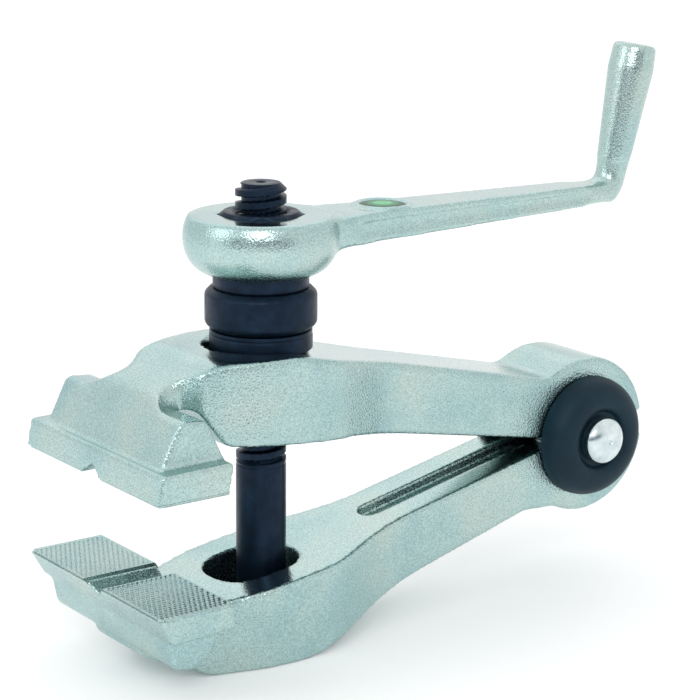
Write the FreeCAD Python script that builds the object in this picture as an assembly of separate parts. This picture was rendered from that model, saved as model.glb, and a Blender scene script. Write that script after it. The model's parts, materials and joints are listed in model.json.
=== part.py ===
import FreeCAD, Part
import math
import os
from FreeCAD import Vector

# Hinged screw clamp with a crank handle.
# Frame: millimetres, +Z up. The origin is where the spindle's axis crosses the plane of the lower jaw's pads.
# +X runs from the spindle to the hinge and the jaws are at -X. All but the crank is symmetric about Y = 0.

os.makedirs("parts", exist_ok=True)

# ---- the tool as a whole
hinge_reach = 125.0        # spindle axis to hinge axis
hinge_height = 20.5        # hinge axis above the lower pad plane
jaw_opening = 34.2         # between the two pad planes as it stands
jaw_reach = 62.5           # spindle axis to the front edge of the pads
jaw_width = 78.8           # pads, side to side

# ---- lower jaw
pad_length = 26.2          # pads, front to back
slab_thickness = 9.2       # jaw slab under the pads
lower_front_rake = 5.3     # lower slab's front face leans back by this
slab_back_rake = 0.9       # a slab's rear face leans back by this
lower_riser_inset = 3.8    # riser narrower than its slab, each side
lower_riser_height = 9.4   # riser below its slab
lower_riser_rake = 2.3     # riser's front face leans back by this
lower_riser_land = 6.3     # flat part of the riser's underside
notch_width = 11.0         # V notch for round stock
notch_depth = 4.0

# ---- upper jaw
riser_inset = 5.6
riser_height = 13.5        # riser above its slab
riser_rake = 7.5           # riser's front face leans back by this
riser_land = 9.2           # flat part of the riser's top
ledge = 4.0                # slab's ledge in front of the riser
neck_width = 28.0          # between riser and shoulder
neck_front_rise = 4.2      # neck's brow above the riser's top
neck_flare_start = 15.5    # pads' front edge to where the neck starts to widen into the riser
neck_flare_run = 4.5       # along X, while it widens
neck_flare_width = 52.0

# ---- arms
arm_width = 30.0           # from mid length to the hinge
shoulder_wall = 11.5       # beside the spindle hole
shoulder_front = 37.0      # spindle axis to the shoulder's front
shoulder_narrowing = 6.0   # shoulder's front corner inside its full width
lower_arm_depth = 27.5     # through the lower arm at the spindle
lower_waist_depth = 21.5   # the same at mid length
lower_end_depth = 18.6     # the same where it meets the knuckle
lower_arm_drop = 3.7       # lower arm's top below the pad plane, at the spindle
upper_arm_rise = 32.7      # upper arm's top above the upper pad plane, at the spindle
upper_arm_depth = 27.3     # through the upper arm at the spindle
upper_end_depth = 23.8     # upper arm's top above the hinge's mid plane, where it meets the knuckle
waist_back = 73.0          # hinge axis to the arms' mid length
swell_back = 85.0          # hinge axis to where the arm starts to swell out to the shoulder
arm_parting = 1.5          # half the gap between the arms where they meet at the hinge
hole_length = 30.0         # hole that the spindle swings in, along X
hole_side_gap = 5.0        # beside the spindle
hole_shift = 4.0           # hole's middle in front of the spindle axis
hole_corner = 11.0

# ---- hinge
knuckle_radius = 27.0
knuckle_blend = 9.0        # hollow where an arm meets its knuckle
hook_wall = 14.0           # from the core out to the knuckle's face
core_waist_depth = 5.0     # core's waist that holds the spring
rivet_radius = 4.0
rivet_head_radius = 8.1
rivet_head_height = 6.8
disc_rim = 6.2             # knuckle's face left clear round a disc
disc_thickness = 9.0
disc_seat = 6.5            # thickness of the dished middle, under the rivet's head
disc_recess_radius = 10.0
upper_tip_angle = 9.5      # where the upper hook ends, above level
lower_tip_angle = -7.5     # where the lower hook ends

# ---- opening spring
wire_radius = 1.25
spring_turns = 2
spring_pitch = 2.9
groove_width = 8.6
groove_depth = 4.0
groove_start = 39.6        # groove's front end behind the spindle axis
leg_end_gap = 15.0         # groove's front end to the end of a leg
bend_gap = 5.5             # core's face to the bend where a leg enters its groove

# ---- screw
spindle_radius = 8.0
spindle_top = 118.3
pivot_drop = 22.0          # cross pin's axis below the pad plane
pivot_edge = 7.5           # spindle's end below the cross pin's axis
pin_radius = 4.5
pin_bearing = 5.5          # pin's hold in the arm, each side of the hole
tip_chamfer = 1.8

# ---- thrust parts under the nut, from the arm upwards
washer_wall = 8.3          # washer's rim outside the spindle
washer_sink = 0.6          # washer's straight side starts below the arm's top
washer_side = 6.0          # height of the washer's straight side
land_height = 1.3          # washer's land that carries the bearing
ball_seat_radius = 24.0    # spherical underside
bearing_wall = 6.5         # bearing, bore to rim
bearing_height = 9.0
race_height = 2.9
ball_radius = 2.4
ball_count = 12
cage_height = 2.2
cage_margin = 0.5
cap_wall = 2.65            # collar round the bearing
cap_plate = 2.9
cap_chamfer = 1.8
neck_wall = 7.1            # nut's round neck outside the spindle
neck_height = 4.5

# ---- nut and crank
hex_across_flats = 24.0
hex_corner_trim = 0.7      # corners of the hexagon turned down
hex_stand = 1.0            # hexagon above the ring
hex_chamfer = 1.2
ring_height = 18.4
ring_top_wall = 10.6       # ring outside the hexagon's flats, at the top
ring_belly_wall = 12.1     # the same at the widest
ring_foot_wall = 5.0       # the same at the foot
ring_belly_height = 8.4
crank_step = 1.4           # arm's top below the ring's
web_length = 36.0          # spindle axis to where the arm starts to widen into the ring
web_width = 32.0           # of the arm where it runs into the ring
crank_turn = -3.0          # degrees, as it stands
crank_reach = 140.0        # spindle axis to the foot of the grip
crank_root_width = 20.0
crank_end_width = 11.6
crank_root_depth = 10.5
crank_end_depth = 6.6
badge_reach = 45.5
badge_radius = 7.8
badge_thickness = 1.0
badge_sink = 0.2           # badge's face below the boss's rim
boss_wall = 1.6
boss_height = 0.9
grip_lean = 11.4           # degrees from upright, outwards
grip_length = 50.0
grip_foot_radius = 5.0
grip_belly_radius = 7.8
grip_end_radius = 6.4
grip_end_length = 8.5
elbow_swell = 0.3          # elbow's ball outside the grip's foot
elbow_back = 1.4           # elbow's middle in front of the arm's end

# ---- clearances
run = 0.05                 # running fits, on the radius
bore_gap = 0.5             # bearing and washer round the spindle
side_gap = 0.2             # arm to disc
seat_gap = 0.3             # spherical washer to arm
rim_gap = 0.3              # bearing collar to washer
wire_gap = 0.2
wire_swell = 0.08          # ball at a bend outside the wire
pin_end_gap = 0.3
ball_gap = 0.1             # ball in its cage pocket

# ---- small edges
edge_break = 0.5
soft = 1.5                 # forged edges of the slabs and risers
far = 200.0                # beyond the tool in any direction

# ---- worked out
half_jaw = jaw_width / 2
half_arm = arm_width / 2
half_neck = neck_width / 2
half_flare = neck_flare_width / 2
half_hole = spindle_radius + hole_side_gap
half_shoulder = half_hole + shoulder_wall
hole_front = -hole_shift - hole_length / 2
hole_back = -hole_shift + hole_length / 2
jaw_front = -jaw_reach
jaw_back = jaw_front + pad_length
hinge = Vector(hinge_reach, 0, hinge_height)
pivot = Vector(0, 0, -pivot_drop)
side = Vector(0, 1, 0)
up = Vector(0, 0, 1)
waist_x = hinge_reach - waist_back
core_radius = knuckle_radius - hook_wall
core_waist = core_radius - core_waist_depth
bend_back = core_radius + bend_gap
disc_radius = knuckle_radius - disc_rim
disc_face = half_arm + side_gap
rivet_seat = disc_face + disc_seat
half_groove = groove_width / 2
coil_radius = core_waist + wire_radius + wire_gap
half_coil = spring_turns * spring_pitch / 2
half_pin = half_hole + pin_bearing
upper_arm_top = jaw_opening + upper_arm_rise
washer_radius = spindle_radius + washer_wall
washer_rim_z = upper_arm_top - washer_sink
washer_top_z = washer_rim_z + washer_side
ball_centre_z = washer_rim_z + math.sqrt(ball_seat_radius ** 2 - washer_radius ** 2)
bearing_bore_radius = spindle_radius + bore_gap
bearing_radius = bearing_bore_radius + bearing_wall
ball_pitch_radius = bearing_bore_radius + bearing_wall / 2
bearing_foot_z = washer_top_z + land_height
bearing_top_z = bearing_foot_z + bearing_height
ball_mid_z = bearing_foot_z + bearing_height / 2
cap_radius = bearing_radius + run + cap_wall
cap_top_z = bearing_top_z + cap_plate
cap_foot_z = washer_top_z + rim_gap
neck_radius = spindle_radius + neck_wall
hex_flat = hex_across_flats / 2
hex_corner = hex_across_flats / math.sqrt(3)
ring_foot_z = cap_top_z + neck_height
ring_top_z = ring_foot_z + ring_height
crank_top_z = ring_top_z - crank_step
hex_top_z = ring_top_z + hex_stand


def rounded_wire(corners):
    """A closed wire through (point, radius) corners, each rounded by a tangent arc."""
    count = len(corners)
    cuts = []
    for i in range(count):
        here, radius = corners[i]
        to_last = (corners[i - 1][0] - here).normalize()
        to_next = (corners[(i + 1) % count][0] - here).normalize()
        if radius == 0:
            cuts.append((here, None, here))
            continue
        half = to_last.getAngle(to_next) / 2
        back = radius / math.tan(half)
        middle = (to_last + to_next).normalize()
        bulge = middle * (radius / math.sin(half) - radius)
        cuts.append((here + to_last * back, here + bulge, here + to_next * back))
    edges = []
    for i in range(count):
        start, mid, end = cuts[i]
        if mid is not None:
            edges.append(Part.Arc(start, mid, end).toShape())
        after = cuts[(i + 1) % count][0]
        if end.distanceToPoint(after) > 1e-6:
            edges.append(Part.LineSegment(end, after).toShape())
    return Part.Wire(edges)


def side_plate(corners, half_width):
    """An outline in the XZ plane, given as (x, z, radius), pulled out to both sides."""
    face = Part.Face(rounded_wire([(Vector(x, -half_width, z), r) for x, z, r in corners]))
    return face.extrude(side * 2 * half_width)


def plan_plate(half_corners, low, high):
    """Half an outline in the XY plane, given as (x, y, radius), mirrored about Y = 0 and pulled up."""
    near = [(Vector(x, -y, low), r) for x, y, r in reversed(half_corners)]
    far_side = [(Vector(x, y, low), r) for x, y, r in half_corners]
    return Part.Face(rounded_wire(far_side + near)).extrude(up * (high - low))


def rod(start, end, radius):
    along = end - start
    return Part.makeCylinder(radius, along.Length, start, along)


def post(radius, x, low, high):
    return rod(Vector(x, 0, low), Vector(x, 0, high), radius)


def across(radius, centre, half_length):
    """A cylinder along Y with its middle at centre."""
    return rod(centre - side * half_length, centre + side * half_length, radius)


def turned(profile, centre=Vector(0, 0, 0), axis=up):
    """A solid of revolution: (radius, height) points turned about an axis."""
    points = [Vector(r, 0, h) for r, h in profile]
    solid = Part.Face(Part.makePolygon(points + [points[0]])).revolve(Vector(0, 0, 0), up, 360)
    solid.Placement = FreeCAD.Placement(centre, FreeCAD.Rotation(up, axis))
    return solid


def fused(first, *others):
    return first.multiFuse(list(others)).removeSplitter()


def save(shape, node):
    solids = shape.Solids
    if not solids:
        raise RuntimeError(node + " has no solid")
    out = solids[0] if len(solids) == 1 else Part.makeCompound(solids)
    if not out.isValid():
        raise RuntimeError(node + " is not valid")
    out.exportStep("parts/" + node + ".step")
    print(node, "solids", len(solids), "volume", round(out.Volume / 1000, 2), "cm3")


# ---------------------------------------------------------------- shared by the two arms
def line_through(x0, z0, x1, z1):
    return lambda x: z0 + (x - x0) * (z1 - z0) / (x1 - x0)


# The arms' inner faces behind the shoulder: height against x.
lower_top = line_through(
    hole_back + 4,
    -lower_arm_drop + 2.2,
    hinge.x - bend_back,
    hinge.z - arm_parting - 1.2,
)
upper_bottom = line_through(
    hole_back + 10,
    upper_arm_top - upper_arm_depth - 1.6,
    hinge.x - bend_back - arm_parting,
    hinge.z + arm_parting,
)


def arm_plan(neck_end):
    """Plan of either arm, from the hinge: straight arm, shoulders round the spindle hole, then the neck."""
    return plan_plate(
        [
            (hinge.x + knuckle_radius + 5, half_arm, 0),
            (hinge.x - swell_back, half_arm, 60),
            (hole_back + 2.5, half_shoulder, 24),
            (hole_front + 7, half_shoulder, 40),
            (-shoulder_front + 3, half_shoulder - shoulder_narrowing, 5),
            (-shoulder_front - 1.5, half_neck, 5),
            *neck_end,
        ],
        -far,
        far,
    )


def spindle_hole():
    return plan_plate([(hole_back, half_hole, hole_corner), (hole_front, half_hole, hole_corner)], -far, far)


def knuckle(tip_angle, inner_face, sign):
    """Round end of an arm, from the arm's inner face over the top (sign 1) or under (sign -1) to its tip."""
    reach = 2 * knuckle_radius
    tip = math.radians(tip_angle)
    corners = [
        (hinge.x, hinge.z, 0),
        (hinge.x + reach * math.cos(tip), hinge.z + reach * math.sin(tip), 0),
        (hinge.x + reach, hinge.z + sign * reach, 0),
        (hinge.x - reach, hinge.z + sign * reach, 0),
        (hinge.x - reach, inner_face(hinge.x - reach), 0),
        (hinge.x - bend_back, inner_face(hinge.x - bend_back), 0),
    ]
    return across(knuckle_radius, hinge, half_arm).common(side_plate(corners, half_jaw))


def blended_hollow(solid, outer_side):
    """Rounds the hollow in front of the knuckle, on the arm's outer side (1 top, -1 underside)."""
    picked = []
    for edge in solid.Edges:
        box = edge.BoundBox
        straight = box.YLength > arm_width - 1 and box.XLength < 0.01 and box.ZLength < 0.01
        in_front = hinge.x - 1.6 * knuckle_radius < box.XMin < hinge.x
        outside = (box.ZMin - hinge.z) * outer_side > knuckle_radius / 3
        if straight and in_front and outside:
            picked.append(edge)
    return solid.makeFillet(knuckle_blend, picked)


def notch(z, sign):
    """V notch along X from the pad plane at height z, cut up (sign 1) or down (sign -1)."""
    skim = 0.04 * sign
    mouth = notch_width / 2
    points = [
        Vector(jaw_front - 5, -mouth, z - skim),
        Vector(jaw_front - 5, mouth, z - skim),
        Vector(jaw_front - 5, 0, z + sign * notch_depth),
    ]
    return Part.Face(Part.makePolygon(points + [points[0]])).extrude(Vector(pad_length + 12, 0, 0))


def leg_points(inner_face, sign):
    """Where a spring leg leaves the coil, bends into its groove and ends."""
    y = sign * half_coil
    lift = sign * (groove_depth - wire_radius - wire_gap)
    bend_x = hinge.x - bend_back
    end_x = groove_start + leg_end_gap
    bend = Vector(bend_x, y, inner_face(bend_x) + lift)
    end = Vector(end_x, y, inner_face(end_x) + lift)
    out = bend - Vector(hinge.x, y, hinge.z)
    angle = math.atan2(out.z, out.x) - sign * math.acos(coil_radius / out.Length)
    tangent = Vector(coil_radius * math.cos(angle), y, coil_radius * math.sin(angle)) + hinge
    return tangent, bend, end, angle


lower_leg = leg_points(lower_top, -1)
upper_leg = leg_points(upper_bottom, 1)


def spring_slot(leg, inner_face, sign):
    """Slot for one spring leg: a round-ended groove along the arm, then a deeper cut to the coil."""
    tangent, bend = leg[0], leg[1]
    floor = tangent.z + sign * (wire_radius + wire_gap)
    open_side = -sign * 3 * groove_depth
    front = inner_face(groove_start)
    corners = [
        (groove_start, front + open_side, 0),
        (groove_start, front + sign * groove_depth, 0),
        (bend.x, inner_face(bend.x) + sign * groove_depth, 0),
        (tangent.x, floor, 0),
        (hinge.x, floor, 0),
        (hinge.x, hinge.z + open_side, 0),
    ]
    if sign > 0:
        corners.reverse()
    ends = [(hinge.x + 1, half_groove, 0), (groove_start, half_groove, half_groove - 0.1)]
    plan = plan_plate(ends, -far, far)
    return side_plate(corners, half_groove).common(plan)


# ---------------------------------------------------------------- lower arm
def lower_arm():
    bottom = -lower_arm_drop - lower_arm_depth
    riser_foot = -slab_thickness - lower_riser_height
    end_x = hinge.x - knuckle_radius
    arm = side_plate(
        [
            (jaw_front + 9, -slab_thickness + 0.5, 0),
            (-shoulder_front, -lower_arm_drop - 5, 6),
            (hole_back + 4, lower_top(hole_back + 4), 60),
            (hinge.x - bend_back, lower_top(hinge.x - bend_back), 0),
            (hinge.x, hinge.z, 0),
            (hinge.x, hinge.z - knuckle_radius + 3, 0),
            (end_x, lower_top(end_x) - lower_end_depth, 0),
            (waist_x, lower_top(waist_x) - lower_waist_depth, 90),
            (hole_back - 7, bottom, 40),
            (-shoulder_front + 6, bottom, 14),
            (jaw_front + 9, riser_foot - 3, 4),
        ],
        half_shoulder,
    ).common(arm_plan([(jaw_front + 8, half_neck, 0)]))
    slab = side_plate(
        [
            (jaw_front, 0, edge_break),
            (jaw_back, 0, edge_break),
            (jaw_back + slab_back_rake, -slab_thickness + 1.2, soft),
            (jaw_front + lower_front_rake, -slab_thickness, soft),
        ],
        half_jaw,
    )
    land_front = jaw_front + lower_front_rake + lower_riser_rake
    riser = side_plate(
        [
            (jaw_front + lower_front_rake, -slab_thickness + 1, 0),
            (jaw_back - 1.3, -slab_thickness + 2, 0),
            (land_front + lower_riser_land + 6.5, riser_foot + 2, 2 * soft),
            (land_front + lower_riser_land, riser_foot - 1, 2 * soft),
            (land_front, riser_foot, 2 * soft),
        ],
        half_jaw - lower_riser_inset,
    )
    limbs = blended_hollow(fused(arm, knuckle(lower_tip_angle, lower_top, -1)), -1)
    body = fused(limbs, slab, riser)
    body = body.cut(across(core_radius + run, hinge, half_jaw))
    body = body.cut(spindle_hole())
    body = body.cut(notch(0, -1))
    body = body.cut(spring_slot(lower_leg, lower_top, -1))
    seat_radius = pin_radius + run
    seat_half = half_pin + pin_end_gap
    seat = across(seat_radius, pivot, seat_half)
    mouth = Part.makeBox(2 * seat_radius, 2 * seat_half, far, pivot - Vector(seat_radius, seat_half, far))
    return body.cut(fused(seat, mouth)).removeSplitter()


# ---------------------------------------------------------------- upper arm
def upper_arm():
    slab_top = jaw_opening + slab_thickness
    riser_top = slab_top + riser_height
    arm_bottom = upper_arm_top - upper_arm_depth
    end_x = hinge.x - knuckle_radius - 4
    belly_x = hole_back + 10
    flare_front = jaw_front + neck_flare_start - neck_flare_run
    flared_neck = [
        (jaw_front + neck_flare_start, half_neck, 8),
        (flare_front, half_flare, 0),
        (flare_front - 3, half_flare, 0),
    ]
    arm = side_plate(
        [
            (jaw_front + 8.6, riser_top - 6, 0),
            (jaw_front + 14.6, riser_top + neck_front_rise, 9),
            (jaw_front + 35, upper_arm_top + 1, 20),
            (hole_back - 13, upper_arm_top + 1, 30),
            (end_x, hinge.z + upper_end_depth + arm_parting, 0),
            (hinge.x, hinge.z + knuckle_radius - 9, 0),
            (hinge.x, hinge.z, 0),
            (hinge.x - bend_back, upper_bottom(hinge.x - bend_back), 0),
            (belly_x, upper_bottom(belly_x), 30),
            (-shoulder_front + 11, arm_bottom + 2.2, 6),
            (-shoulder_front - 0.8, riser_top + 1.5, 5),
            (jaw_front + 20, riser_top - 6, 0),
        ],
        half_shoulder,
    ).common(arm_plan(flared_neck))
    slab = side_plate(
        [
            (jaw_front, jaw_opening, edge_break),
            (jaw_back - 1.6, jaw_opening, edge_break),
            (jaw_back + slab_back_rake, slab_top + 0.6, soft),
            (jaw_front + 1.6, slab_top, soft / 2),
        ],
        half_jaw,
    )
    riser_front = jaw_front + ledge
    land_front = riser_front + riser_rake
    riser = side_plate(
        [
            (riser_front, slab_top - 2, 0),
            (jaw_back + 1.5, slab_top - 2, 0),
            (land_front + riser_land, riser_top - 0.6, 2 * soft),
            (land_front, riser_top, 2 * soft),
            (riser_front + 1, slab_top + 0.8, soft),
        ],
        half_jaw - riser_inset,
    )
    limbs = blended_hollow(fused(arm, knuckle(upper_tip_angle, upper_bottom, 1)), 1)
    body = fused(limbs, slab, riser)
    body = body.cut(across(core_radius + run, hinge, half_jaw))
    body = body.cut(spindle_hole())
    body = body.cut(notch(jaw_opening, 1))
    body = body.cut(spring_slot(upper_leg, upper_bottom, 1))
    dish = Part.makeSphere(ball_seat_radius + seat_gap, Vector(0, 0, ball_centre_z))
    return body.cut(dish).removeSplitter()


# ---------------------------------------------------------------- hinge
def hinge_core():
    """Barrel that both hooks turn on, waisted in the middle for the spring."""
    core = across(core_radius, hinge, half_arm + side_gap / 2)
    waist = across(core_radius + 1, hinge, half_groove).cut(across(core_waist, hinge, half_groove))
    return core.cut(waist).cut(across(rivet_radius + run, hinge, arm_width))


def side_disc(sign):
    """Domed disc over one side of the hinge, with a dished middle for the rivet's head."""
    bore = rivet_radius + run
    crown = Vector((disc_radius + rivet_radius) / 2, 0, disc_thickness)
    rim = Vector(disc_radius, 0, edge_break)
    foot = Vector(disc_radius - edge_break, 0, 0)
    lip = Vector(disc_recess_radius, 0, disc_seat)
    outer_bulge = Vector((crown.x + rim.x) / 2 + 0.7, 0, (crown.z + rim.z) / 2 + 1.7)
    inner_bulge = Vector((crown.x + lip.x) / 2 - 0.2, 0, (crown.z + lip.z) / 2 + 0.5)
    profile = [
        Part.LineSegment(Vector(bore, 0, 0), foot),
        Part.LineSegment(foot, rim),
        Part.Arc(rim, outer_bulge, crown),
        Part.Arc(crown, inner_bulge, lip),
        Part.LineSegment(lip, Vector(bore, 0, disc_seat)),
        Part.LineSegment(Vector(bore, 0, disc_seat), Vector(bore, 0, 0)),
    ]
    face = Part.Face(Part.Wire([piece.toShape() for piece in profile]))
    solid = face.revolve(Vector(0, 0, 0), up, 360)
    outwards = side * sign
    solid.Placement = FreeCAD.Placement(hinge + outwards * disc_face, FreeCAD.Rotation(up, outwards))
    return solid


def hinge_rivet():
    """Shaft with a domed head closed on each side."""
    r = rivet_head_radius
    h = rivet_head_height
    dome = [(r, h - 3.5), (r - 1.2, h - 2), (r / 5, h - 0.35), (0, h)]
    head = [(0, 0), (r - edge_break, 0), (r, edge_break)] + dome
    near = turned(head, hinge - side * rivet_seat, -side)
    back = turned(head, hinge + side * rivet_seat, side)
    return fused(across(rivet_radius, hinge, rivet_seat), near, back)


def opening_spring():
    """Torsion spring: turns round the core's waist, and a leg in each arm's groove."""
    low, high = lower_leg[3], upper_leg[3]
    sweep = (high - low) % (2 * math.pi) + 2 * math.pi * (spring_turns - 1)
    steps = 16 * spring_turns
    points = []
    for i in range(steps + 1):
        angle = low + sweep * i / steps
        y = half_coil * (2 * i / steps - 1)
        points.append(Vector(coil_radius * math.cos(angle), y, coil_radius * math.sin(angle)) + hinge)
    curve = Part.BSplineCurve()
    curve.interpolate(points)
    start_way = curve.tangent(curve.FirstParameter)[0]
    ring = Part.Wire([Part.Circle(points[0], start_way, wire_radius).toShape()])
    body = Part.Wire([curve.toShape()]).makePipeShell([ring], True, True)
    for tangent, bend, end, angle in (lower_leg, upper_leg):
        body = body.fuse(Part.makeSphere(wire_radius + wire_swell, tangent))
        body = body.fuse(rod(tangent, bend, wire_radius))
        body = body.fuse(Part.makeSphere(wire_radius + wire_swell, bend))
        body = body.fuse(rod(bend, end, wire_radius))
    return body


# ---------------------------------------------------------------- screw
def spindle():
    foot = -pivot_drop - pivot_edge
    r = spindle_radius
    profile = [
        (0, foot),
        (r - edge_break, foot),
        (r, foot + edge_break),
        (r, spindle_top - tip_chamfer),
        (r - tip_chamfer, spindle_top),
        (0, spindle_top),
    ]
    return turned(profile).cut(across(pin_radius, pivot, 2 * r))


def spindle_cross_pin():
    r = pin_radius
    shoulder = half_pin - edge_break
    low_end = [(0, -half_pin), (r - edge_break, -half_pin), (r, -shoulder)]
    high_end = [(r, shoulder), (r - edge_break, half_pin), (0, half_pin)]
    return turned(low_end + high_end, pivot, side)


# ---------------------------------------------------------------- thrust parts
def seat_washer():
    """Washer with a spherical underside and a land that carries the bearing."""
    r = washer_radius
    ball = Part.makeSphere(ball_seat_radius, Vector(0, 0, ball_centre_z))
    lowest = ball_centre_z - ball_seat_radius
    rim = [(r, lowest), (r, washer_top_z - edge_break), (r - edge_break, washer_top_z)]
    blank = turned([(0, lowest)] + rim + [(0, washer_top_z)])
    land = post(bearing_radius - edge_break, 0, washer_top_z, bearing_foot_z)
    body = fused(blank.common(ball), blank.common(post(r, 0, washer_rim_z, washer_top_z)), land)
    return body.cut(post(bearing_bore_radius, 0, lowest - 1, bearing_top_z))


def race(low):
    high = low + race_height
    ring = post(bearing_radius, 0, low, high).cut(post(bearing_bore_radius, 0, low, high))
    return ring.cut(Part.makeTorus(ball_pitch_radius, ball_radius + run / 2, Vector(0, 0, ball_mid_z)))


def ball_places():
    for i in range(ball_count):
        angle = 2 * math.pi * i / ball_count
        yield Vector(ball_pitch_radius * math.cos(angle), ball_pitch_radius * math.sin(angle), ball_mid_z)


def bearing_balls():
    return Part.makeCompound([Part.makeSphere(ball_radius, place) for place in ball_places()])


def bearing_cage():
    low = ball_mid_z - cage_height / 2
    high = ball_mid_z + cage_height / 2
    outer = post(bearing_radius - cage_margin, 0, low, high)
    cage = outer.cut(post(bearing_bore_radius + cage_margin, 0, low, high))
    for place in ball_places():
        cage = cage.cut(rod(place - up * cage_height, place + up * cage_height, ball_radius + ball_gap))
    return cage


def bearing_cap():
    """Collar over the thrust bearing."""
    r = cap_radius
    c = cap_chamfer
    inner = bearing_radius + run
    return turned(
        [
            (inner, cap_foot_z),
            (r - c, cap_foot_z),
            (r, cap_foot_z + c),
            (r, cap_top_z - c),
            (r - c, cap_top_z),
            (bearing_bore_radius, cap_top_z),
            (bearing_bore_radius, bearing_top_z),
            (inner, bearing_top_z),
        ]
    )


# ---------------------------------------------------------------- nut and crank
def hexagon(low, high):
    points = []
    for i in range(7):
        angle = math.radians(60 * i + 30 + crank_turn)
        points.append(Vector(hex_corner * math.cos(angle), hex_corner * math.sin(angle), low))
    return Part.Face(Part.makePolygon(points)).extrude(up * (high - low))


def hex_nut():
    corner = hex_corner - hex_corner_trim
    limit = turned(
        [
            (0, cap_top_z),
            (neck_radius - edge_break, cap_top_z),
            (neck_radius, cap_top_z + edge_break),
            (neck_radius, ring_foot_z),
            (corner, ring_foot_z),
            (corner, hex_top_z - hex_chamfer),
            (hex_flat - edge_break, hex_top_z),
            (0, hex_top_z),
        ]
    )
    body = fused(post(neck_radius, 0, cap_top_z, ring_foot_z), hexagon(ring_foot_z, hex_top_z)).common(limit)
    mouth_foot = hex_top_z - hex_chamfer
    lead_in = [(spindle_radius + hex_chamfer, hex_top_z), (spindle_radius, mouth_foot)]
    mouth = turned([(0, hex_top_z)] + lead_in + [(0, mouth_foot)])
    return body.cut(post(spindle_radius + run, 0, 0, 2 * hex_top_z)).cut(mouth)


def as_it_stands(shape):
    shape.rotate(Vector(0, 0, 0), up, crank_turn)
    return shape


def crank_ring():
    top = ring_top_z
    foot = ring_foot_z
    belly = hex_flat + ring_belly_wall
    start = Vector(hex_flat + ring_foot_wall, 0, foot)
    middle = Vector(belly, 0, foot + ring_belly_height)
    rim = Vector(hex_flat + ring_top_wall, 0, top)
    section = [
        Part.LineSegment(Vector(0, 0, foot), start),
        Part.Arc(start, Vector(belly - 2.2, 0, foot + 3.4), middle),
        Part.Arc(middle, Vector(belly - 0.35, 0, top - 2.6), rim),
        Part.LineSegment(rim, Vector(0, 0, top)),
        Part.LineSegment(Vector(0, 0, top), Vector(0, 0, foot)),
    ]
    return Part.Face(Part.Wire([piece.toShape() for piece in section])).revolve(Vector(0, 0, 0), up, 360)


def crank_handle():
    """Forging: a ring on the hexagon, a tapering arm, an elbow and an upright tapered grip."""
    top = crank_top_z
    root = hex_flat + 2
    profile = side_plate(
        [
            (root, top, 0),
            (crank_reach, top, 0),
            (crank_reach, top - crank_end_depth, 0),
            (root, top - crank_root_depth, 0),
        ],
        web_width,
    )
    plan = plan_plate(
        [
            (crank_reach, crank_end_width / 2, 3),
            (web_length, crank_root_width / 2, 18),
            (root, web_width / 2, 0),
        ],
        -far,
        far,
    )
    elbow = Vector(crank_reach - elbow_back, 0, top - crank_end_depth / 2 + elbow_swell)
    lean = math.radians(grip_lean)
    end = grip_length
    grip = turned(
        [
            (0, 0),
            (grip_foot_radius, 0),
            (grip_belly_radius, end - grip_end_length),
            (grip_end_radius + 0.9, end - 1),
            (grip_end_radius, end),
            (0, end),
        ],
        elbow,
        Vector(math.sin(lean), 0, math.cos(lean)),
    )
    knee = Part.makeSphere(grip_foot_radius + elbow_swell, elbow)
    boss = post(badge_radius + boss_wall, badge_reach, top - crank_end_depth, top + boss_height)
    body = fused(crank_ring(), profile.common(plan), knee, grip, boss)
    body = body.cut(post(badge_radius, badge_reach, top + boss_height - badge_sink - badge_thickness, far))
    return as_it_stands(body).cut(hexagon(ring_foot_z - 1, ring_top_z + 5))


def badge():
    """Plain coloured disc let into the boss on the crank."""
    high = crank_top_z + boss_height - badge_sink
    return as_it_stands(post(badge_radius, badge_reach, high - badge_thickness, high))


save(lower_arm(), "lower_arm")
save(upper_arm(), "upper_arm")
save(hinge_core(), "hinge_core")
save(hinge_rivet(), "hinge_rivet")
save(side_disc(-1), "near_side_disc")
save(side_disc(1), "far_side_disc")
save(opening_spring(), "opening_spring")
save(spindle(), "spindle")
save(spindle_cross_pin(), "spindle_cross_pin")
save(seat_washer(), "seat_washer")
save(race(bearing_foot_z), "bearing_lower_race")
save(bearing_balls(), "bearing_balls")
save(bearing_cage(), "bearing_cage")
save(race(bearing_top_z - race_height), "bearing_upper_race")
save(bearing_cap(), "bearing_cap")
save(hex_nut(), "hex_nut")
save(crank_handle(), "crank_handle")
save(badge(), "badge")
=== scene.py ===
import json
import math
import bmesh
import bpy
import numpy as np
from mathutils import Matrix, Vector


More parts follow.
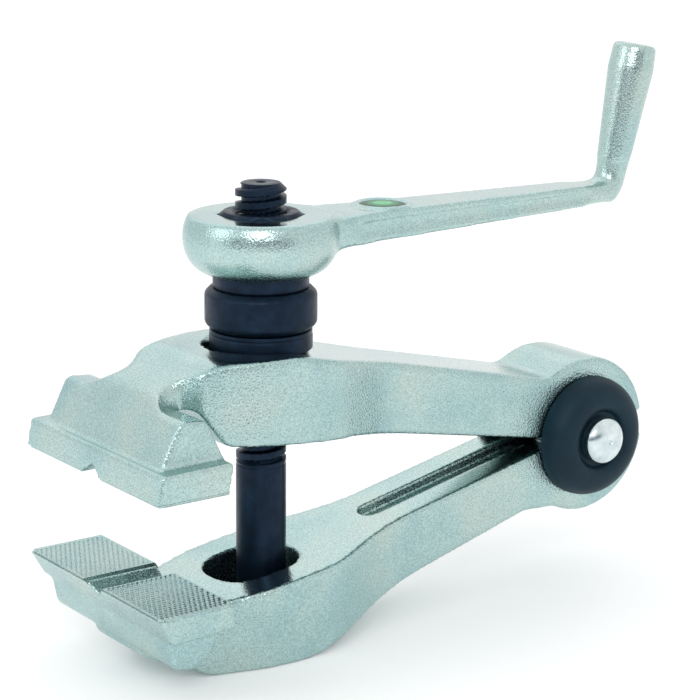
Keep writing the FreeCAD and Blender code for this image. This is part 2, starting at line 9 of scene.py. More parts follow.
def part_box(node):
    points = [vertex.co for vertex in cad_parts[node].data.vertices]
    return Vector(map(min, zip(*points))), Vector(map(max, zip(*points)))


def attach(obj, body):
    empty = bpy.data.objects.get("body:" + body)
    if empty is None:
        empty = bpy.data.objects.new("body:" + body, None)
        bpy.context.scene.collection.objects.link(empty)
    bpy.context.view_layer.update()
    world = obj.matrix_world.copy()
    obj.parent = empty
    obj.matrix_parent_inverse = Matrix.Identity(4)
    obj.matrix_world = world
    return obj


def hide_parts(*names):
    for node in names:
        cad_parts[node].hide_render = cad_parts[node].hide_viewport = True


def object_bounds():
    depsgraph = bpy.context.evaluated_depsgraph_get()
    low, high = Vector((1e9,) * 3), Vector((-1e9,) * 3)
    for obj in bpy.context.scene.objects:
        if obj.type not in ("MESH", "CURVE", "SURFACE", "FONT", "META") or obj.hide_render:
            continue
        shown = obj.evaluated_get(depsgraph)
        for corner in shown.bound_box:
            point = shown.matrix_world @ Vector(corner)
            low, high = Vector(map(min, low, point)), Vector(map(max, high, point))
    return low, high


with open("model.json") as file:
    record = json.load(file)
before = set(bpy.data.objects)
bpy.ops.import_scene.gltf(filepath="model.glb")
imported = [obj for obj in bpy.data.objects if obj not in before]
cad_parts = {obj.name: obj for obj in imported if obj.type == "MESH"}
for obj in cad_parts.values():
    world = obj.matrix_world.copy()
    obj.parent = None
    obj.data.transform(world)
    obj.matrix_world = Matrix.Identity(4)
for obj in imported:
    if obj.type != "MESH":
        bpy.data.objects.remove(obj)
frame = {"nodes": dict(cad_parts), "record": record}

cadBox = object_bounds()
mm = 0.001
swing = frame["record"]["behaviour"]["joints"][0]
hinge = Vector(swing["pos_m"])
print("frame loaded:", len(frame["nodes"]), "nodes")


def linear(hexColour):
    # sRGB hex to the linear colour that shaders use
    parts = [int(hexColour[i:i + 2], 16) / 255 for i in (1, 3, 5)]
    return [c / 12.92 if c <= 0.04045 else ((c + 0.055) / 1.055) ** 2.4 for c in parts] + [1.0]


def addNode(tree, kind, inputs=None, stops=(), **settings):
    # one shader node, with its settings, its ramp's stops, and values or links on its inputs
    node = tree.nodes.new(kind)
    for key, value in settings.items():
        setattr(node, key, value)
    for key, value in (inputs or {}).items():
        if isinstance(value, bpy.types.NodeSocket):
            tree.links.new(value, node.inputs[key])
        else:
            node.inputs[key].default_value = value
    while stops and len(node.color_ramp.elements) < len(stops):
        node.color_ramp.elements.new(0.5)
    for i, (place, colour) in enumerate(stops):
        node.color_ramp.elements[i].position = place
        node.color_ramp.elements[i].color = colour
    return node


def newMaterial(name):
    material = bpy.data.materials.new(name)
    material.use_nodes = True
    material.node_tree.nodes.clear()
    return material, material.node_tree


def grey(value):
    return [value, value, value, 1.0]


def makeObject(name, points, faces, material, smooth=True):
    mesh = bpy.data.meshes.new(name)
    mesh.from_pydata([tuple(p) for p in points], [], [tuple(f) for f in faces])
    mesh.update()
    piece = bpy.data.objects.new(name, mesh)
    bpy.context.scene.collection.objects.link(piece)
    piece.data.materials.append(material)
    if smooth:
        mesh.shade_smooth()
    return piece


def tidyMesh(mesh):
    # points on the axis are welded and the skin is turned to face outwards
    work = bmesh.new()
    work.from_mesh(mesh)
    bmesh.ops.remove_doubles(work, verts=work.verts, dist=0.002 * mm)
    bmesh.ops.dissolve_degenerate(work, edges=work.edges, dist=0.0005 * mm)
    bmesh.ops.recalc_face_normals(work, faces=work.faces)
    work.to_mesh(mesh)
    work.free()
    mesh.shade_smooth()
    mesh.set_sharp_from_angle(angle=math.radians(38))


def settle(piece, body, slot, *nodes):
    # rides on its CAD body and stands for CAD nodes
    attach(piece, body)
    if nodes:
        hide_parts(*nodes)
    return piece


# steel forging, shot-blasted and zinc plated: a pale blue-grey metal whose frosted grain sparkles
zinc = {
    "body": "#b1ccca",
    "shade": "#a6c4c5",
    "warm": "#bacec9",
    "grain": 0.55 * mm,      # shot dimples; the real ones are about 0.2 mm, drawn coarser to show
    "cloud": 28 * mm,        # slow change of tone in the passivated layer
    "dimpleDepth": 0.12 * mm,
    "blastRoughness": 0.26,
    "coinedRoughness": 0.14,
    "edgeAndCreviceShade": 0.7,         # edges and crevices: painted shade in the crevices, and a darker line along the convex edges
    "coinedFrom": 0.93,      # upward share of a face's normal where the die's coined finish begins
    "coinedFull": 0.99,
    "dimpleBump": 0.9,
    "coinedBump": 0.16,
}


def zincForging(name, coined=True, dimple=1.0, darker=1.0):
    material, tree = newMaterial(name)
    place = addNode(tree, "ShaderNodeTexCoord")
    where = place.outputs["Object"]
    grain = addNode(
        tree,
        "ShaderNodeTexNoise",
        {"Vector": where, "Scale": 1 / zinc["grain"], "Detail": 2.0, "Roughness": 0.6},
    )
    dimples = addNode(tree, "ShaderNodeTexVoronoi", {"Vector": where, "Scale": 0.8 / zinc["grain"]})
    cloud = addNode(
        tree,
        "ShaderNodeTexNoise",
        {"Vector": where, "Scale": 1 / zinc["cloud"], "Detail": 3.0},
    )
    tone = addNode(
        tree,
        "ShaderNodeValToRGB",
        {"Fac": cloud.outputs["Fac"]},
        stops=[(0.36, linear(zinc["shade"])), (0.5, linear(zinc["body"])), (0.66, linear(zinc["warm"]))],
    )
    # darker lowers the whole colour; on the toothed pads it is painted shade of the teeth
    speck = addNode(
        tree,
        "ShaderNodeMapRange",
        {
            "Value": grain.outputs["Fac"],
            "From Min": 0.36,
            "From Max": 0.64,
            "To Min": 0.78 * darker,
            "To Max": 1.08 * darker,
        },
    )
    # painted shade: concave crevices, found by low pointiness, are darkened; convex edges are darkened too
    bend = addNode(tree, "ShaderNodeNewGeometry").outputs["Pointiness"]
    paintedCreviceShade = addNode(
        tree,
        "ShaderNodeMapRange",
        {"Value": bend, "From Min": 0.36, "From Max": 0.45, "To Min": zinc["edgeAndCreviceShade"], "To Max": 1.0},
    )
    ridge = addNode(
        tree,
        "ShaderNodeMapRange",
        {"Value": bend, "From Min": 0.55, "From Max": 0.62, "To Min": 1.0, "To Max": zinc["edgeAndCreviceShade"]},
    )
    edge = addNode(
        tree,
        "ShaderNodeMath",
        {0: paintedCreviceShade.outputs["Result"], 1: ridge.outputs["Result"]},
        operation="MULTIPLY",
    )
    shade = addNode(
        tree,
        "ShaderNodeMath",
        {0: edge.outputs[0], 1: speck.outputs["Result"]},
        operation="MULTIPLY",
    )
    colour = addNode(
        tree,
        "ShaderNodeVectorMath",
        {"Vector": tone.outputs["Color"], "Scale": shade.outputs[0]},
        operation="SCALE",
    )
    # faces that the die coined flat look up: smoother there, so they mirror what stands on them
    normal = addNode(tree, "ShaderNodeSeparateXYZ", {"Vector": place.outputs["Normal"]})
    flat = addNode(
        tree,
        "ShaderNodeMapRange",
        {
            "Value": normal.outputs["Z"],
            "From Min": zinc["coinedFrom"],
            "From Max": zinc["coinedFull"],
            "To Max": 1.0 if coined else 0.0,
        },
        interpolation_type="SMOOTHSTEP",
    )
    rough = addNode(
        tree,
        "ShaderNodeMapRange",
        {
            "Value": flat.outputs["Result"],
            "To Min": zinc["blastRoughness"],
            "To Max": zinc["coinedRoughness"],
        },
    )
    wander = addNode(
        tree,
        "ShaderNodeMath",
        {0: grain.outputs["Fac"], 1: 0.16, 2: -0.08},
        operation="MULTIPLY_ADD",
    )
    roughness = addNode(
        tree,
        "ShaderNodeMath",
        {0: rough.outputs["Result"], 1: wander.outputs[0]},
        operation="ADD",
        use_clamp=True,
    )
    height = addNode(
        tree,
        "ShaderNodeMath",
        {0: dimples.outputs["Distance"], 1: grain.outputs["Fac"]},
        operation="ADD",
    )
    strength = addNode(
        tree,
        "ShaderNodeMapRange",
        {
            "Value": flat.outputs["Result"],
            "To Min": zinc["dimpleBump"] * dimple,
            "To Max": zinc["coinedBump"] * dimple,
        },
    )
    bump = addNode(
        tree,
        "ShaderNodeBump",
        {
            "Height": height.outputs[0],
            "Strength": strength.outputs["Result"],
            "Distance": zinc["dimpleDepth"],
        },
    )
    shader = addNode(
        tree,
        "ShaderNodeBsdfPrincipled",
        {
            "Base Color": colour.outputs[0],
            "Metallic": 1.0,
            "Roughness": roughness.outputs[0],
            "Normal": bump.outputs["Normal"],
        },
    )
    addNode(tree, "ShaderNodeOutputMaterial", {"Surface": shader.outputs[0]})
    return material


# turned steel with an oiled black-oxide finish: blue-black satin, a little streaky round the axis
oxide = {
    "body": "#0b1a2b",
    "worn": "#142b40",
    "toolMark": 0.5 * mm,    # turning marks, about the feed of the lathe
    "patch": 5 * mm,
    "pore": 0.4 * mm,        # fine pits, drawn coarser than the real ones to show
    "roughness": 0.42,
    "patchSpread": 0.08,     # how much duller or shinier a patch is
    "bump": 0.35,
    "bumpDepth": 0.03 * mm,
}


def blackOxide(name, roughness=oxide["roughness"]):
    material, tree = newMaterial(name)
    where = addNode(tree, "ShaderNodeTexCoord").outputs["Object"]
    marks = addNode(tree, "ShaderNodeMapping", {"Vector": where, "Scale": (0.05, 0.05, 1.0)})
    rings = addNode(
        tree,
        "ShaderNodeTexNoise",
        {"Vector": marks.outputs["Vector"], "Scale": 1 / oxide["toolMark"], "Detail": 3.0},
    )
    patch = addNode(
        tree,
        "ShaderNodeTexNoise",
        {"Vector": where, "Scale": 1 / oxide["patch"], "Detail": 4.0, "Roughness": 0.65},
    )
    pores = addNode(
        tree,
        "ShaderNodeTexNoise",
        {"Vector": where, "Scale": 1 / oxide["pore"], "Detail": 2.0},
    )
    colour = addNode(
        tree,
        "ShaderNodeValToRGB",
        {"Fac": patch.outputs["Fac"]},
        stops=[(0.3, linear(oxide["body"])), (0.78, linear(oxide["worn"]))],
    )
    rough = addNode(
        tree,
        "ShaderNodeMapRange",
        {
            "Value": patch.outputs["Fac"],
            "From Min": 0.3,
            "From Max": 0.7,
            "To Min": roughness + oxide["patchSpread"],
            "To Max": roughness - oxide["patchSpread"],
        },
    )
    height = addNode(
        tree,
        "ShaderNodeMath",
        {0: rings.outputs["Fac"], 1: pores.outputs["Fac"]},
        operation="ADD",
    )
    bump = addNode(
        tree,
        "ShaderNodeBump",
        {
            "Height": height.outputs[0],
            "Strength": oxide["bump"],
            "Distance": oxide["bumpDepth"],
        },
    )
    shader = addNode(
        tree,
        "ShaderNodeBsdfPrincipled",
        {
            "Base Color": colour.outputs["Color"],
            "Metallic": 0.75,
            "Roughness": rough.outputs["Result"],
            "Normal": bump.outputs["Normal"],
        },
    )
    addNode(tree, "ShaderNodeOutputMaterial", {"Surface": shader.outputs[0]})
    return material


# glass-filled nylon, moulded: near-black with a soft sheen and a faint orange-peel skin
nylon = {
    "body": "#04202d",
    "light": "#0b2d3b",
    "skin": 1.1 * mm,        # orange peel
    "cloud": 11.1 * mm,      # slow change of tone
    "roughness": 0.5,
    "ior": 1.53,
    "shine": 0.2,
    "bumpDepth": 0.04 * mm,
}


def mouldedNylon():
    material, tree = newMaterial("mouldedNylon")
    where = addNode(tree, "ShaderNodeTexCoord").outputs["Object"]
    skin = addNode(tree, "ShaderNodeTexNoise", {"Vector": where, "Scale": 1 / nylon["skin"], "Detail": 3.0})
    tone = addNode(
        tree,
        "ShaderNodeTexNoise",
        {"Vector": where, "Scale": 1 / nylon["cloud"], "Detail": 3.0},
    )
    colour = addNode(
        tree,
        "ShaderNodeValToRGB",
        {"Fac": tone.outputs["Fac"]},
        stops=[(0.3, linear(nylon["body"])), (0.8, linear(nylon["light"]))],
    )
    rough = addNode(
        tree,
        "ShaderNodeMapRange",
        {
            "Value": skin.outputs["Fac"],
            "To Min": nylon["roughness"] - 0.06,
            "To Max": nylon["roughness"] + 0.08,
        },
    )
    bump = addNode(
        tree,
        "ShaderNodeBump",
        {"Height": skin.outputs["Fac"], "Strength": 0.3, "Distance": nylon["bumpDepth"]},
    )
    shader = addNode(
        tree,
        "ShaderNodeBsdfPrincipled",
        {
            "Base Color": colour.outputs["Color"],
            "IOR": nylon["ior"],
            "Specular IOR Level": nylon["shine"],
            "Roughness": rough.outputs["Result"],
            "Normal": bump.outputs["Normal"],
        },
    )
    addNode(tree, "ShaderNodeOutputMaterial", {"Surface": shader.outputs[0]})
    return material


# plain bright metals, ground, drawn or stamped: clear reflections broken by fine marks along one way
bright = {
    "blotch": 4.55 * mm,     # slow change of tone
    "markBump": 0.25,
    "markDepth": 0.02 * mm,
}


def brightMetal(name, light, dark, markScale, roughness, stretch=(1.0, 1.0, 1.0)):
    material, tree = newMaterial(name)
    where = addNode(tree, "ShaderNodeTexCoord").outputs["Object"]
    marks = addNode(tree, "ShaderNodeMapping", {"Vector": where, "Scale": stretch})
    lines = addNode(
        tree,
        "ShaderNodeTexNoise",
        {"Vector": marks.outputs["Vector"], "Scale": 1 / markScale, "Detail": 3.0},
    )
    blotch = addNode(
        tree,
        "ShaderNodeTexNoise",
        {"Vector": where, "Scale": 1 / bright["blotch"], "Detail": 3.0},
    )
    colour = addNode(
        tree,
        "ShaderNodeValToRGB",
        {"Fac": blotch.outputs["Fac"]},
        stops=[(0.3, linear(dark)), (0.65, linear(light))],
    )
    rough = addNode(
        tree,
        "ShaderNodeMapRange",
        {"Value": lines.outputs["Fac"], "To Min": roughness * 0.75, "To Max": roughness * 1.3},
    )
    bump = addNode(
        tree,
        "ShaderNodeBump",
        {
            "Height": lines.outputs["Fac"],
            "Strength": bright["markBump"],
            "Distance": bright["markDepth"],
        },
    )
    shader = addNode(
        tree,
        "ShaderNodeBsdfPrincipled",
        {
            "Base Color": colour.outputs["Color"],
            "Metallic": 1.0,
            "Roughness": rough.outputs["Result"],
            "Normal": bump.outputs["Normal"],
        },
    )
    addNode(tree, "ShaderNodeOutputMaterial", {"Surface": shader.outputs[0]})
    return material


# doming resin over a printed foil: clear gloss on a plain green with a little depth
resin = {
    # dome: paler green for the middle, a painted highlight of the dome
    "dome": "#62b880",
    "ring": "#2b8150",
    "rim": "#144a33",
    "reach": 6.0 * mm,       # middle to rim
    "swirl": 2.38 * mm,      # uneven print under the resin
}


def domedResin(centre):
    # darker green ring round a paler middle: the ring is printed under the resin, and the paler middle is printed
    # green lightened as a painted highlight of the dome
    material, tree = newMaterial("domedResin")
    where = addNode(tree, "ShaderNodeTexCoord").outputs["Object"]
    away = addNode(tree, "ShaderNodeVectorMath", {0: where, 1: centre}, operation="DISTANCE")
    depth = addNode(
        tree,
        "ShaderNodeTexNoise",
        {"Vector": where, "Scale": 1 / resin["swirl"], "Detail": 2.0},
    )
    wave = addNode(
        tree,
        "ShaderNodeMath",
        {0: depth.outputs["Fac"], 1: 0.12, 2: -0.06},
        operation="MULTIPLY_ADD",
    )
    share = addNode(
        tree,
        "ShaderNodeMath",
        {0: away.outputs["Value"], 1: resin["reach"]},
        operation="DIVIDE",
    )
    place = addNode(tree, "ShaderNodeMath", {0: share.outputs[0], 1: wave.outputs[0]}, operation="ADD")
    bands = [(0.0, "dome"), (0.5, "dome"), (0.62, "ring"), (0.82, "ring"), (0.92, "rim")]
    colour = addNode(
        tree,
        "ShaderNodeValToRGB",
        {"Fac": place.outputs[0]},
        stops=[(at, linear(resin[part])) for at, part in bands],
    )
    shader = addNode(
        tree,
        "ShaderNodeBsdfPrincipled",
        {
            "Base Color": colour.outputs["Color"],
            "Roughness": 0.35,
            "IOR": 1.5,
            "Specular IOR Level": 0.3,
        },
    )
    addNode(tree, "ShaderNodeOutputMaterial", {"Surface": shader.outputs[0]})
    return material


zincArm = zincForging("blastedZincForging")
zincCrank = zincForging("blastedZincCrank", dimple=0.55)     # shallower dimples
zincPad = zincForging("milledZincPad", coined=False, dimple=0.3, darker=0.95)    # cut after forging: duller and finer, and 5% darker in colour as painted shade of the teeth
blackThread = blackOxide("oiledBlackThread", roughness=0.36)
blackTurned = blackOxide("turnedBlackOxide")
blackNylon = mouldedNylon()
# pressed, then plated: bright, near white
rivetSteel = brightMetal("headedZincRivet", "#dfe9ea", "#b7c8cb", 0.6 * mm, 0.22)
# drawn wire: dull grey, streaked round its width
springWire = brightMetal("drawnSpringWire", "#8d9a9e", "#5f6c71", 0.5 * mm, 0.34, (0.1, 1.0, 0.1))
# ground: the smoothest, even and cool
bearingSteel = brightMetal("groundBearingSteel", "#dfe2e4", "#c4c9cc", 0.4 * mm, 0.14)
# turned, under grease: duller, with rings
coreSteel = brightMetal("turnedGreasedSteel", "#b2b7ba", "#8c9295", 0.5 * mm, 0.3, (1.0, 0.1, 1.0))
# stamped brass: warm yellow, satin
cageBrass = brightMetal("stampedBrass", "#d9b56b", "#b58f47", 0.5 * mm, 0.28)
print("materials ready")


# forged pieces: an even skin over the CAD solid, then its edges are eased as a hammer die leaves them
def evenSkin(node, name, voxel):
    source = frame["nodes"][node]
    piece = bpy.data.objects.new(name, source.data.copy())
    bpy.context.scene.collection.objects.link(piece)
    piece.matrix_world = source.matrix_world.copy()
    remesh = piece.modifiers.new("even skin", "REMESH")
    remesh.mode = "VOXEL"
    remesh.voxel_size = voxel
    depsgraph = bpy.context.evaluated_depsgraph_get()
    mesh = bpy.data.meshes.new_from_object(piece.evaluated_get(depsgraph))
    mesh.transform(piece.matrix_world)
    piece.modifiers.clear()
    piece.data = mesh
    piece.matrix_world = Matrix.Identity(4)
    piece.data.name = name
    return piece


def readPoints(mesh):
    points = np.empty(len(mesh.vertices) * 3)
    mesh.vertices.foreach_get("co", points)
    return points.reshape(-1, 3)


def writePoints(mesh, points):
    mesh.vertices.foreach_set("co", points.reshape(-1))
    mesh.update()


def eased(points, edges, passes, amount):
    # each pass moves a point part of the way to the middle of its neighbours
    a, b = edges[:, 0], edges[:, 1]
    count = np.bincount(a, minlength=len(points)) + np.bincount(b, minlength=len(points))
    count = np.maximum(count, 1)[:, None]
    for _ in range(passes):
        total = np.zeros_like(points)
        for axis in range(3):
            total[:, axis] += np.bincount(a, points[b, axis], len(points))
            total[:, axis] += np.bincount(b, points[a, axis], len(points))
        points = points + amount * (total / count - points)
    return points


def edgesOf(mesh):
    edges = np.empty(len(mesh.edges) * 2, dtype=np.int64)
    mesh.edges.foreach_get("vertices", edges)
    return edges.reshape(-1, 2)


def ramp(values, low, high):
    # 0 below low, 1 above high, smooth between
    t = np.clip((values - low) / (high - low), 0, 1)
    return t * t * (3 - 2 * t)


def near(values, low, high, soft):
    return ramp(values, low - soft, low) * (1 - ramp(values, high, high + soft))


forging = {
    "voxel": 0.7 * mm,
    "edgePasses": {"lower_arm": 5, "upper_arm": 13},    # the upper arm's edges are rounded to about 2 mm
    "easeStep": 0.5,
    "browPasses": 50,        # blends the neck into the riser's front
    "brow": (-57 * mm, -42 * mm),    # that blend's place along the arm
    "browHalf": (13 * mm, 22 * mm),
    "browRise": (14 * mm, 19 * mm),  # above the pad
    "padSink": 0.8 * mm,     # skin lowered where the toothed pads lie
    # how much of the easing is held back where the piece was cut after forging
    "crisp": {"jaw": 0.62, "slab": 0.85, "groove": 0.75, "bore": 0.9, "hole": 0.6, "seat": 0.96},
    "jawReach": 6 * mm,      # past the pads' back edge
    "slabReach": 1 * mm,
    "slabDepth": 5.2 * mm,
    "grooveFrom": 36 * mm,
    "grooveHalf": 7 * mm,
    "grooveReach": 100 * mm,     # from the hinge
    "grooveInner": 40 * mm,      # only the side that faces the other arm
    "boreReach": 16 * mm,
    "holeMiddle": -4 * mm,
    "holeHalf": (17 * mm, 15 * mm),
    "seatReach": 19.5 * mm,
    "seatDepth": 9 * mm,
}
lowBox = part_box("lower_arm")
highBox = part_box("upper_arm")
padFront = lowBox[0][0]
padHalf = lowBox[1][1]
padLength = 26.2 * mm
notchHalf = 5.5 * mm
jawOpening = 34.2 * mm       # between the two jaws as the clamp stands


def forgedArm(node, name, padZ, sign, body):
    piece = evenSkin(node, name, forging["voxel"])
    mesh = piece.data
    edges = edgesOf(mesh)
    points = readPoints(mesh)
    x, y, z = points[:, 0], points[:, 1], points[:, 2]
    fromHinge = np.hypot(x - hinge.x, z - hinge.z)
    # what was cut after forging stays crisp: jaw, notch, spring groove, hinge bore, hole and washer seat
    crisp = np.zeros(len(points))
    hold = forging["crisp"]
    padBack = padFront + padLength
    crisp[x < padBack + forging["jawReach"]] = hold["jaw"]
    slab = (x < padBack + forging["slabReach"]) & (np.abs(z - padZ) < forging["slabDepth"])
    crisp[slab] = hold["slab"]
    groove = (x > forging["grooveFrom"]) & (np.abs(y) < forging["grooveHalf"])
    groove &= fromHinge < forging["grooveReach"]
    inner = sign * (z - hinge.z) < forging["grooveInner"]
    crisp[groove & inner] = hold["groove"]
    crisp[fromHinge < forging["boreReach"]] = hold["bore"]
    holeX, holeY = forging["holeHalf"]
    crisp[(np.abs(x - forging["holeMiddle"]) < holeX) & (np.abs(y) < holeY)] = hold["hole"]
    if sign > 0:
        seat = (np.hypot(x, y) < forging["seatReach"]) & (z > highBox[1][2] - forging["seatDepth"])
        crisp[seat] = hold["seat"]
    amount = (forging["easeStep"] * (1 - crisp))[:, None]
    points = eased(points, edges, forging["edgePasses"][node], amount)
    if sign > 0:
        # the neck runs down into the riser's front in one sweep
        x, y, z = points[:, 0], points[:, 1], points[:, 2]
        brow = near(x, *forging["brow"], 4 * mm) * (1 - ramp(np.abs(y), *forging["browHalf"]))
        brow *= ramp(z - padZ, *forging["browRise"])
        points = eased(points, edges, forging["browPasses"], (0.5 * brow)[:, None])
    x, y, z = points[:, 0], points[:, 1], points[:, 2]
    underPad = (x < padBack + 0.6 * mm) & (np.abs(y) > notchHalf - 1.1 * mm)
    depth = sign * (z - padZ)
    points[:, 2] = np.where(underPad & (depth < forging["padSink"]), padZ + sign * forging["padSink"], z)
    writePoints(mesh, points)
    mesh.shade_smooth()
    piece.data.materials.clear()
    piece.data.materials.append(zincArm)
    return settle(piece, body, "zinc_steel", node)


forgedArm("lower_arm", "lowerArmForging", 0.0, -1, "lower_jaw")
forgedArm("upper_arm", "upperArmForging", jawOpening, 1, "upper_jaw")
print("arms forged")

# gripping faces: a diamond of cut teeth on each half of a jaw
teeth = {
    "pitch": 1.5 * mm,
    "depth": 0.5 * mm,
    "rim": 0.9 * mm,         # plain strip left round the teeth
    "corner": 2.2 * mm,
    "angle": 62,             # degrees, to the jaw's front edge
    "secondCut": 0.5,        # the crossing cut is shallower
    "cell": 0.25 * mm,
    "border": 0.15 * mm,
    "edgeBreak": 0.25 * mm,
    "foot": 1.2 * mm,        # pad's underside below its teeth's tips
    "frontLean": 0.58,       # lower jaw's front face, run per rise
    "notchLean": 1.375,      # notch's sides, the same
    "upperShort": 1.6 * mm,  # upper pads end this much sooner
}


def toothedPad(name, x0, x1, y0, y1, z, sign, frontLean, body):
    # teeth point up where sign is 1, down where it is -1
    nx = int(round((x1 - x0) / teeth["cell"]))
    ny = int(round((y1 - y0) / teeth["cell"]))
    xs = np.linspace(x0, x1, nx + 1)
    ys = np.linspace(y0, y1, ny + 1)
    gx, gy = np.meshgrid(xs, ys, indexing="ij")
    slant = math.radians(teeth["angle"])
    depth = np.zeros_like(gx)
    for way in (1, -1):
        across = gx * math.sin(slant) - way * gy * math.cos(slant)
        phase = np.abs((across / teeth["pitch"]) % 1.0 - 0.5) * 2
        share = 1.0 if way == 1 else teeth["secondCut"]
        depth = np.maximum(depth, share * np.clip(1 - phase * 1.7, 0, 1))
    edge = np.minimum.reduce([gx - x0, x1 - gx, gy - y0, y1 - gy])
    fall = 1 - ramp(edge, 0.0, 1.2 * teeth["edgeBreak"])
    cut = ramp(edge, 0.7 * teeth["rim"], 1.3 * teeth["rim"])
    top = z - sign * (depth * teeth["depth"] * cut + fall * teeth["edgeBreak"])
    # outer front corner rounded in plan
    outer = y0 if abs(y0) > abs(y1) else y1
    inward = -math.copysign(1, outer)
    alongX = (x0 + teeth["corner"]) - gx
    alongY = (outer + inward * teeth["corner"] - gy) * inward
    reach = np.hypot(alongX, alongY)
    outside = (alongX > 0) & (alongY > 0) & (reach > teeth["corner"])
    pull = np.where(outside, teeth["corner"] / np.maximum(reach, 1e-9), 1.0)
    gx = np.where(outside, x0 + teeth["corner"] - alongX * pull, gx)
    gy = np.where(outside, outer + inward * teeth["corner"] - inward * alongY * pull, gy)
    points = np.stack([gx, gy, top], axis=-1).reshape(-1, 3)
    faces = []
    for i in range(nx):
        for j in range(ny):
            a = i * (ny + 1) + j
            b = a + ny + 1
            faces.append((a, b, b + 1, a + 1) if sign > 0 else (a, a + 1, b + 1, b))
    under = len(points)
    foot = z - sign * teeth["foot"]
    notchSide = y0 if abs(y0) < abs(y1) else y1
    rim = [i * (ny + 1) for i in range(nx + 1)] + [nx * (ny + 1) + j for j in range(1, ny + 1)]
    rim += [i * (ny + 1) + ny for i in range(nx - 1, -1, -1)] + [j for j in range(ny - 1, 0, -1)]
    low = []
    for k in rim:
        px, py = points[k][0], points[k][1]
        if px - x0 < 0.1 * teeth["cell"]:
            px += frontLean * teeth["foot"]
        if abs(py - notchSide) < 0.1 * teeth["cell"]:
            py -= math.copysign(teeth["notchLean"] * teeth["foot"], py)
        low.append((px, py, foot))
    points = np.concatenate([points, np.array(low)])
    count = len(rim)
    for k in range(count):
        a, b = rim[k], rim[(k + 1) % count]
        c, d = under + (k + 1) % count, under + k
        faces.append((b, a, d, c) if sign > 0 else (a, b, c, d))
    base = tuple(range(under, under + count))
    faces.append(base[::-1] if sign > 0 else base)
    piece = makeObject(name, points, faces, zincPad, smooth=False)
    tidyMesh(piece.data)
    return settle(piece, body, "zinc_steel")


padX0 = padFront + teeth["border"]
padX1 = padFront + padLength - teeth["border"]
notchEdge = notchHalf + teeth["border"]
outerEdge = padHalf - teeth["border"]
for label, y0, y1 in (("Near", -outerEdge, -notchEdge), ("Far", notchEdge, outerEdge)):
    toothedPad("lowerPad" + label, padX0, padX1, y0, y1, 0.0, 1, teeth["frontLean"], "lower_jaw")
    upperEnd = padX1 - teeth["upperShort"]
    toothedPad("upperPad" + label, padX0, upperEnd, y0, y1, jawOpening, -1, 0.0, "upper_jaw")
print("gripping faces cut")


# crank: a forging too, with a flute rolled along each side of its arm
crank = {
    "voxel": 0.6 * mm,
    "passes": 6,
    "kneePasses": 45,
    "rootPasses": 25,
    "fluteDepth": 0.85 * mm,
    "turn": -3.0,            # degrees off the arms' line
    "armTop": 107.0 * mm,
    "hexReach": 15.5 * mm,   # the hexagonal hole keeps its edges inside this radius
    "bossAt": 45.5 * mm,     # the badge's boss, along the arm
    "bossRadius": 11 * mm,
    "knee": (128 * mm, 146 * mm),        # elbow, along the arm
    "kneeHeight": (94 * mm, 112 * mm),
    "heel": (138 * mm, 142 * mm),        # elbow's outer corner
    "heelHeight": (102 * mm, 106 * mm),
    "root": (19 * mm, 27 * mm),          # where the arm leaves the ring
    "rootHalf": (5 * mm, 9 * mm),
    "flute": (34 * mm, 122 * mm),
    "armFrom": 22 * mm,
    "armRun": 118 * mm,
    "armDepth": (10.5, 3.9),     # mm deep at the ring, and how much less at the elbow
    "armHalf": (10.0, 4.2),      # half its width, the same way
}


def forgedCrank():
    piece = evenSkin("crank_handle", "crankForging", crank["voxel"])
    mesh = piece.data
    edges = edgesOf(mesh)
    points = readPoints(mesh)
    turn = math.radians(crank["turn"])
    along = points[:, 0] * math.cos(turn) + points[:, 1] * math.sin(turn)
    across = -points[:, 0] * math.sin(turn) + points[:, 1] * math.cos(turn)
    z = points[:, 2]
    armTop = crank["armTop"]
    hexZone = np.hypot(points[:, 0], points[:, 1]) < crank["hexReach"]
    crisp = np.where(hexZone, 0.85, 0.0)
    bossZone = np.hypot(along - crank["bossAt"], across) < crank["bossRadius"]
    crisp = np.maximum(crisp, np.where(bossZone & (z > armTop - 1.5 * mm), 0.75, 0.0))
    points = eased(points, edges, crank["passes"], (0.5 * (1 - crisp))[:, None])
    # the elbow is drawn round in one sweep
    knee = near(along, *crank["knee"], 5 * mm) * near(z, *crank["kneeHeight"], 4 * mm)
    points = eased(points, edges, crank["kneePasses"], (0.5 * knee)[:, None])
    heel = ramp(along, *crank["heel"]) * (1 - ramp(points[:, 2], *crank["heelHeight"]))
    points = eased(points, edges, 2 * crank["kneePasses"], (0.5 * heel)[:, None])
    root = near(along, *crank["root"], 4 * mm) * ramp(np.abs(across), *crank["rootHalf"])
    points = eased(points, edges, crank["rootPasses"], (0.5 * root)[:, None])
    across = -points[:, 0] * math.sin(turn) + points[:, 1] * math.cos(turn)
    along = points[:, 0] * math.cos(turn) + points[:, 1] * math.sin(turn)
    z = points[:, 2]
    outward = np.clip((along - crank["armFrom"]) / crank["armRun"], 0, 1)
    armDepth = (crank["armDepth"][0] - crank["armDepth"][1] * outward) * mm
    middle = armTop - armDepth * 0.5
    flute = near(along, *crank["flute"], 8 * mm)
    flute *= np.clip(1 - ((z - middle) / (armDepth * 0.27)) ** 4, 0, 1)
    halfWidth = (crank["armHalf"][0] - crank["armHalf"][1] * outward) * mm
    side = ramp(np.abs(across), halfWidth * 0.7, halfWidth * 0.85)
    push = crank["fluteDepth"] * flute * side * np.sign(across)
    points[:, 0] += push * math.sin(turn)
    points[:, 1] -= push * math.cos(turn)
    writePoints(mesh, points)
    mesh.shade_smooth()
    piece.data.materials.clear()
    piece.data.materials.append(zincCrank)
    return settle(piece, "crank", "zinc_steel", "crank_handle")


forgedCrank()
print("crank forged")


